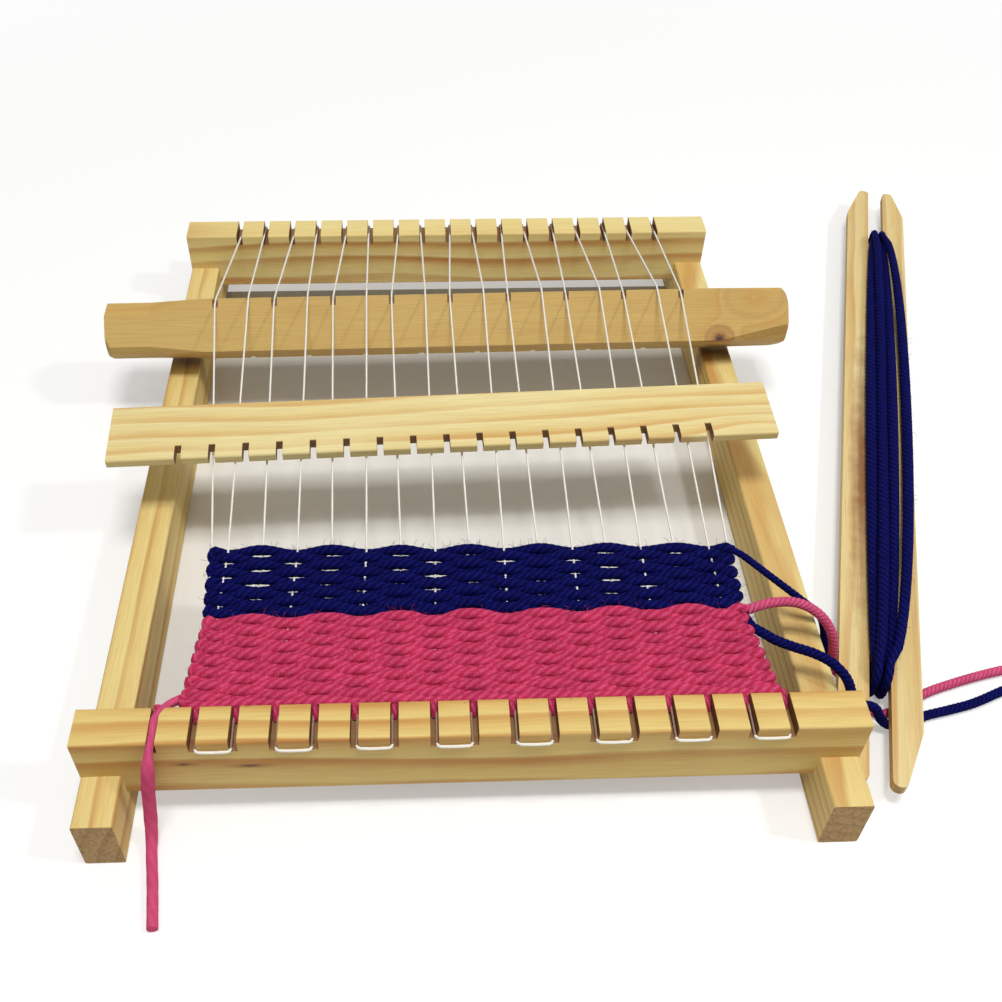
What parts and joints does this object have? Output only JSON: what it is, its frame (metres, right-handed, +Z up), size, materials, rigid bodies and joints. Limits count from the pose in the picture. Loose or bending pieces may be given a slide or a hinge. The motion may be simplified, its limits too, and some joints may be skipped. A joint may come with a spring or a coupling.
{
  "type": "tabletop weaving loom",
  "caption": "Small wooden frame loom with a turning heddle bar, a comb, a stick shuttle wound with yarn, and a striped band half woven on its warp.",
  "frame": {"origin": "middle of the bounding box of everything but the loose yarn ends, at the level of the table", "axes": "+X along the beams to the weaver's right, +Y from the weaver's side to the back beam, +Z up"},
  "size_m": [0.3965, 0.4109, 0.0562],
  "materials": {
    "pine": "sanded, unvarnished",
    "steel": "satin",
    "cotton_string": "twisted cotton",
    "pink_yarn": "soft plied yarn",
    "navy_yarn": "soft plied yarn"
  },
  "bodies": {
    "frame": {"left_rail": "pine", "right_rail": "pine", "front_beam": "pine", "back_beam": "pine", "front_left_screw": "steel", "front_right_screw": "steel", "back_left_screw": "steel", "back_right_screw": "steel", "warp_string": "cotton_string", "pink_band": "pink_yarn", "navy_band": "navy_yarn", "pink_front_tail": "pink_yarn", "pink_side_tail": "pink_yarn", "navy_working_yarn": "navy_yarn", "navy_start_tail": "navy_yarn"},
    "heddle": {"heddle_bar": "pine"},
    "beater": {"comb": "pine"},
    "stick_shuttle": {"shuttle": "pine", "shuttle_winding": "navy_yarn"}
  },
  "joints": [
    {"name": "heddle_turn", "type": "hinge", "parent": "frame", "child": "heddle", "pos_m": [-0.05118, 0.0383, 0.03871], "axis": [0.9999, 0.0131, 0], "range_deg": [0, 180], "deforming": ["warp_string"]},
    {"name": "comb_beat", "type": "slide", "parent": "frame", "child": "beater", "axis": [0, 0.9959, 0.091], "range_m": [-0.036, 0.052]},
    {"name": "shuttle_throw", "type": "slide", "parent": "frame", "child": "stick_shuttle", "axis": [0.274, 0.9617, 0], "range_m": [0, 0.024]}
  ]
}
